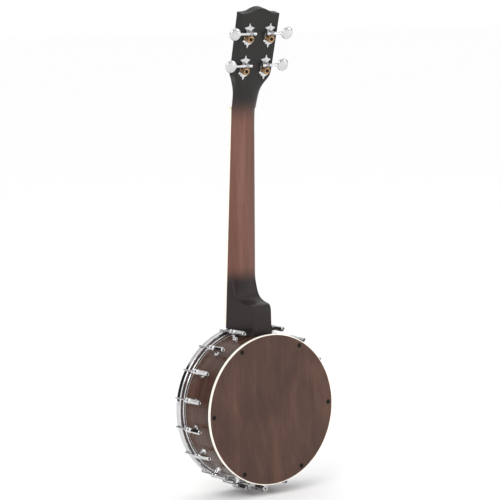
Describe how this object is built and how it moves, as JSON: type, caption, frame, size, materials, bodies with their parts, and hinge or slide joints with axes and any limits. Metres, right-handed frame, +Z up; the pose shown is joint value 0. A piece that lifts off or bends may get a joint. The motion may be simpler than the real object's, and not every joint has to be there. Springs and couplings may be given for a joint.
{
  "type": "banjo ukulele",
  "caption": "Four-string banjo ukulele with a closed-back wooden pot, chrome tension hoop on hooks and shoes, slim neck and open-gear tuning machines.",
  "frame": {"origin": "centre of the back plate's flat outer face, on the axis of the round pot", "axes": "+Z up the neck towards the headstock, +Y out of the back plate (pot axis), playing side towards -Y, +X to the right when the back faces away from the viewer at -Y"},
  "size_m": [0.2288, 0.0867, 0.6721],
  "materials": {
    "back_wood": "satin stained mahogany",
    "rim_wood": "semi-gloss stained maple",
    "neck_wood": "satin stained mahogany with dark ends",
    "board_wood": "oiled rosewood",
    "bridge_wood": "bare maple",
    "black_lacquer": "satin black lacquer",
    "binding": "polished cream celluloid",
    "drum_skin": "coated polyester head",
    "bone": "polished bone",
    "pearl": "pearl inlay",
    "hardware_chrome": "polished chrome plate",
    "plain_steel": "zinc-plated steel",
    "fret_wire": "nickel silver",
    "string_steel": "plain and wound steel",
    "gear_brass": "polished brass",
    "black_screw": "blackened steel"
  },
  "bodies": {
    "instrument": {"back_binding": "binding", "back_edge_strip": "black_lacquer", "back_plate": "back_wood", "back_screws": "black_screw", "bracket_hooks": "hardware_chrome", "bracket_nuts": "hardware_chrome", "bracket_shoes": "hardware_chrome", "bridge": "bridge_wood", "coordinator_rod": "plain_steel", "fingerboard": "board_wood", "fingerboard_binding": "binding", "flesh_hoop": "hardware_chrome", "frets": "fret_wire", "head_film": "drum_skin", "headstock_overlay": "black_lacquer", "neck": "neck_wood", "neck_bolts": "plain_steel", "neck_nuts": "plain_steel", "neck_washers": "plain_steel", "nut": "bone", "position_markers": "pearl", "rim": "rim_wood", "shoe_bolts": "plain_steel", "shoe_washers": "plain_steel", "string_1": "string_steel", "string_2": "string_steel", "string_3": "string_steel", "string_4": "string_steel", "tail_bracket": "hardware_chrome", "tailpiece": "hardware_chrome", "tailpiece_bolt": "hardware_chrome", "tailpiece_nut": "hardware_chrome", "tension_hoop": "hardware_chrome", "tuner_bushings": "hardware_chrome", "tuner_plates": "hardware_chrome", "tuner_screws": "hardware_chrome"},
    "tuner_key_1": {"worm_shaft_1": "hardware_chrome", "tuner_button_1": "hardware_chrome"},
    "tuner_spindle_1": {"tuner_gear_1": "gear_brass", "tuner_post_1": "hardware_chrome", "gear_screw_1": "black_screw", "string_wraps_1": "string_steel"},
    "tuner_key_2": {"worm_shaft_2": "hardware_chrome", "tuner_button_2": "hardware_chrome"},
    "tuner_spindle_2": {"tuner_gear_2": "gear_brass", "tuner_post_2": "hardware_chrome", "gear_screw_2": "black_screw", "string_wraps_2": "string_steel"},
    "tuner_key_3": {"worm_shaft_3": "hardware_chrome", "tuner_button_3": "hardware_chrome"},
    "tuner_spindle_3": {"tuner_gear_3": "gear_brass", "tuner_post_3": "hardware_chrome", "gear_screw_3": "black_screw", "string_wraps_3": "string_steel"},
    "tuner_key_4": {"worm_shaft_4": "hardware_chrome", "tuner_button_4": "hardware_chrome"},
    "tuner_spindle_4": {"tuner_gear_4": "gear_brass", "tuner_post_4": "hardware_chrome", "gear_screw_4": "black_screw", "string_wraps_4": "string_steel"}
  },
  "joints": [
    {"name": "key_turn_1", "type": "hinge", "parent": "instrument", "child": "tuner_key_1", "pos_m": [0.0173, -0.01947, 0.47256], "axis": [1, 0, 0], "continuous": true},
    {"name": "spindle_turn_1", "type": "hinge", "parent": "instrument", "child": "tuner_spindle_1", "pos_m": [0.0173, -0.02139, 0.46531], "axis": [0, 0.9664, -0.2571], "continuous": true},
    {"name": "key_turn_2", "type": "hinge", "parent": "instrument", "child": "tuner_key_2", "pos_m": [0.0173, -0.00795, 0.51585], "axis": [1, 0, 0], "continuous": true},
    {"name": "spindle_turn_2", "type": "hinge", "parent": "instrument", "child": "tuner_spindle_2", "pos_m": [0.0173, -0.00988, 0.50861], "axis": [0, 0.9664, -0.2571], "continuous": true},
    {"name": "key_turn_3", "type": "hinge", "parent": "instrument", "child": "tuner_key_3", "pos_m": [-0.0173, -0.00795, 0.51585], "axis": [-1, 0, 0], "continuous": true},
    {"name": "spindle_turn_3", "type": "hinge", "parent": "instrument", "child": "tuner_spindle_3", "pos_m": [-0.0173, -0.00988, 0.50861], "axis": [0, 0.9664, -0.2571], "continuous": true},
    {"name": "key_turn_4", "type": "hinge", "parent": "instrument", "child": "tuner_key_4", "pos_m": [-0.0173, -0.01947, 0.47256], "axis": [-1, 0, 0], "continuous": true},
    {"name": "spindle_turn_4", "type": "hinge", "parent": "instrument", "child": "tuner_spindle_4", "pos_m": [-0.0173, -0.02139, 0.46531], "axis": [0, 0.9664, -0.2571], "continuous": true}
  ],
  "couplings": [
    {"joint": "spindle_turn_1", "follows": "key_turn_1", "ratio": -0.071429},
    {"joint": "spindle_turn_2", "follows": "key_turn_2", "ratio": -0.071429},
    {"joint": "spindle_turn_3", "follows": "key_turn_3", "ratio": 0.071429},
    {"joint": "spindle_turn_4", "follows": "key_turn_4", "ratio": 0.071429}
  ]
}
